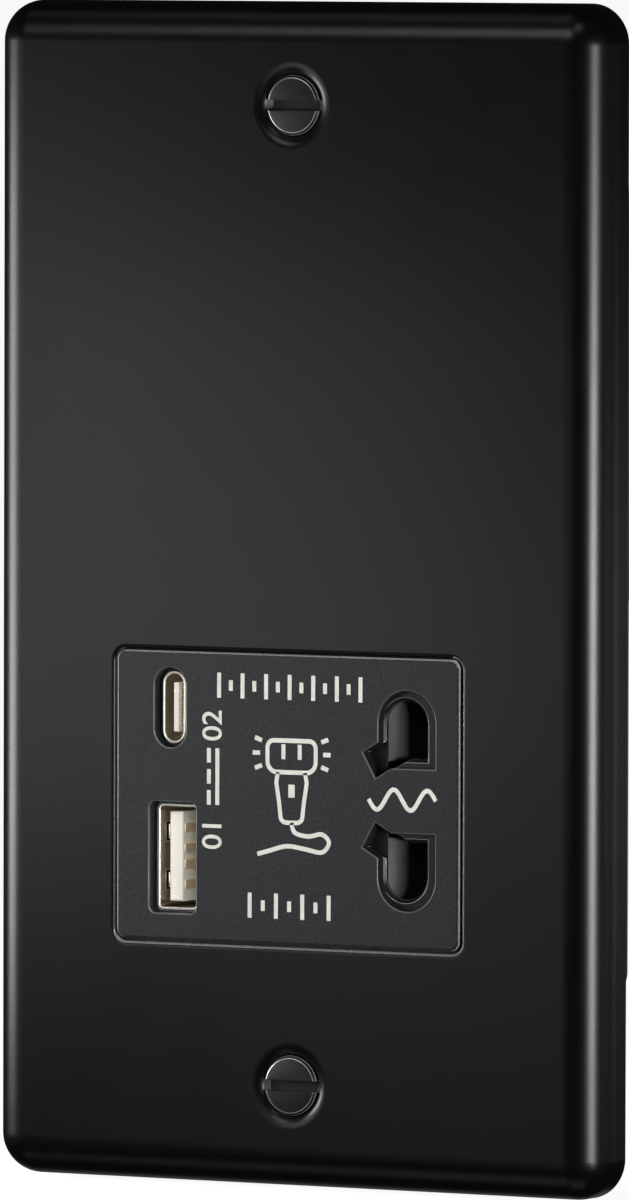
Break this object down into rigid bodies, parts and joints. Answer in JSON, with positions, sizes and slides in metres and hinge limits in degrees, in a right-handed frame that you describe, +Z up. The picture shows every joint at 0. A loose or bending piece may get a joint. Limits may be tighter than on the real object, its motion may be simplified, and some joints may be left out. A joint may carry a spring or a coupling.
{
  "type": "shaver socket",
  "caption": "Vertical wall plate with an isolated shaver socket behind a sliding shutter, USB charging outlets beside it, and the transformer housing and terminals behind.",
  "frame": {"origin": "on the wall's surface, in the plane of the plate's back edge, midway between the two fixing screws", "axes": "+X to the right seen from the front, +Y into the wall, +Z up"},
  "size_m": [0.086, 0.0446, 0.146],
  "materials": {
    "plate_paint": "fine matt powder coat",
    "insert_plastic": "satin moulded",
    "cover_plastic": "matt moulded",
    "housing_plastic": "matt moulded",
    "screw_black": "black plated",
    "zinc_steel": "bright zinc",
    "spring_steel": "plain",
    "nickel": "nickel plated",
    "brass": "plain",
    "gold": "plated",
    "core_steel": "varnished laminations",
    "copper_wire": "enamelled wire",
    "bobbin_plastic": "moulded",
    "shutter_plastic": "moulded",
    "switch_plastic": "moulded",
    "plunger_plastic": "moulded",
    "tongue_white": "moulded",
    "cutout_case": "plain",
    "board_laminate": "solder mask",
    "can_aluminium": "plain",
    "chip_plastic": "moulded",
    "coil_ferrite": "plain"
  },
  "bodies": {
    "unit": {"front_plate": "plate_paint", "fixing_screws": "screw_black", "front_insert": "insert_plastic", "module_cover": "cover_plastic", "cover_screws": "zinc_steel", "plate_bushes": "brass", "module_screws": "zinc_steel", "rear_housing": "housing_plastic", "shutter_spring": "spring_steel", "switch_body": "switch_plastic", "contact_carrier": "bobbin_plastic", "upper_contact": "brass", "lower_contact": "brass", "transformer_core": "core_steel", "transformer_bobbin": "bobbin_plastic", "primary_winding": "copper_wire", "secondary_winding": "copper_wire", "thermal_cutout": "cutout_case", "terminal_block": "bobbin_plastic", "terminal_clamps": "brass", "terminal_screws": "zinc_steel", "block_screw": "zinc_steel", "earth_terminal": "brass", "earth_screw": "zinc_steel", "usb_a_shell": "nickel", "usb_a_insulator": "tongue_white", "usb_a_contacts": "gold", "usb_c_shell": "nickel", "usb_c_insulator": "tongue_white", "usb_c_contacts": "gold", "usb_board": "board_laminate", "board_coil": "coil_ferrite", "board_capacitors": "can_aluminium", "board_chips": "chip_plastic"},
    "shutter": {"shutter": "shutter_plastic"},
    "plunger": {"switch_plunger": "plunger_plastic"}
  },
  "joints": [
    {"name": "shutter_slide", "type": "slide", "parent": "unit", "child": "shutter", "axis": [-1, 0, 0], "range_m": [0, 0.009], "stiffness_N_per_m": 30, "springref_m": -0.006, "deforming": ["shutter_spring"]},
    {"name": "plunger_press", "type": "slide", "parent": "unit", "child": "plunger", "axis": [0, 0, 1], "range_m": [0, 0.001]}
  ],
  "couplings": [
    {"joint": "plunger_press", "follows": "shutter_slide", "ratio": 0.1111}
  ]
}
